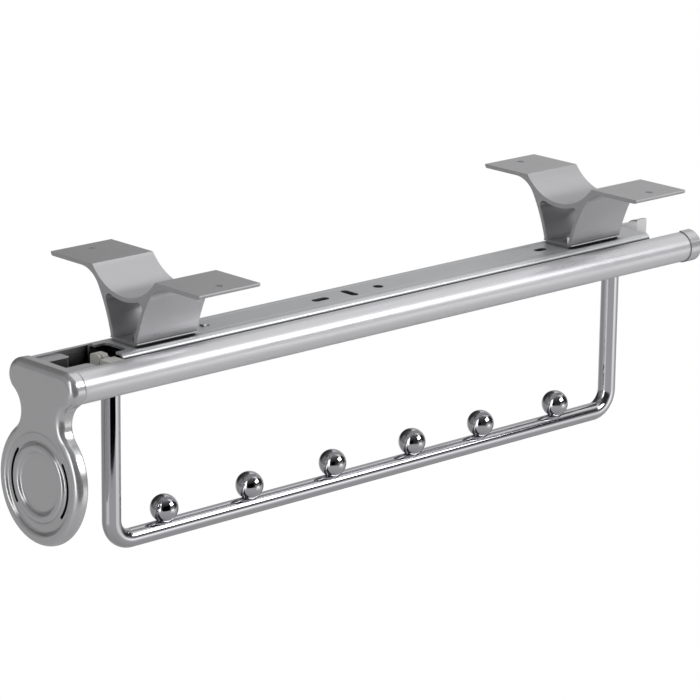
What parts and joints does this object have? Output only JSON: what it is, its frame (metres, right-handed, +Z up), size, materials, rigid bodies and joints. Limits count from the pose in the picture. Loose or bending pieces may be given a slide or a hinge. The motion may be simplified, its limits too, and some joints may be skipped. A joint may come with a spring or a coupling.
{
  "type": "pull-out clothes rail",
  "caption": "Pull-out wardrobe rail that hangs under a shelf from two brackets, with a ball slide, a round handle plate and a chrome hanging bar with stop balls.",
  "frame": {"origin": "centre of the four wing screw holes, on the plane of the wing tops that meets the shelf", "axes": "+Y along the rail from the handle plate to the rear end, +X across the rail, +Z up"},
  "size_m": [0.118, 0.4646, 0.1461],
  "materials": {
    "bracket_aluminium": "satin anodised",
    "rail_aluminium": "satin anodised",
    "satin_chrome": "satin chrome plate",
    "bright_chrome": "bright chrome plate",
    "zinc_steel": "bright zinc plate",
    "zinc_screws": "bright zinc plate",
    "ball_steel": "polished",
    "grey_plastic": "moulded",
    "black_rubber": "moulded"
  },
  "bodies": {
    "mount_frame": {"bracket_front": "bracket_aluminium", "bracket_nuts_front": "zinc_screws", "bracket_nuts_rear": "zinc_screws", "bracket_rear": "bracket_aluminium", "bracket_screws_front": "zinc_screws", "bracket_screws_rear": "zinc_screws", "fixed_channel": "zinc_steel", "rear_stop": "black_rubber"},
    "outer_cage": {"outer_ball_cage": "zinc_steel", "outer_balls": "ball_steel"},
    "middle_slide": {"middle_channel": "zinc_steel"},
    "inner_cage": {"inner_ball_cage": "zinc_steel", "inner_balls": "ball_steel"},
    "carriage": {"bar_screws": "zinc_screws", "body_profile": "rail_aluminium", "channel_rivets": "zinc_screws", "front_buffer": "grey_plastic", "handle_plate": "satin_chrome", "hanger_bar": "bright_chrome", "inner_channel": "zinc_steel", "plate_screws": "zinc_screws", "rear_cap": "satin_chrome", "rear_cap_screws": "zinc_screws", "stop_ball_1": "bright_chrome", "stop_ball_2": "bright_chrome", "stop_ball_3": "bright_chrome", "stop_ball_4": "bright_chrome", "stop_ball_5": "bright_chrome", "stop_ball_6": "bright_chrome"}
  },
  "joints": [
    {"name": "pull_out", "type": "slide", "parent": "mount_frame", "child": "carriage", "axis": [0, -1, 0], "range_m": [0, 0.3]},
    {"name": "middle_run", "type": "slide", "parent": "mount_frame", "child": "middle_slide", "axis": [0, -1, 0], "range_m": [0, 0.15]},
    {"name": "outer_cage_run", "type": "slide", "parent": "mount_frame", "child": "outer_cage", "axis": [0, -1, 0], "range_m": [0, 0.075]},
    {"name": "inner_cage_run", "type": "slide", "parent": "mount_frame", "child": "inner_cage", "axis": [0, -1, 0], "range_m": [0, 0.225]}
  ],
  "couplings": [
    {"joint": "middle_run", "follows": "pull_out", "ratio": 0.5},
    {"joint": "outer_cage_run", "follows": "pull_out", "ratio": 0.25},
    {"joint": "inner_cage_run", "follows": "pull_out", "ratio": 0.75}
  ]
}
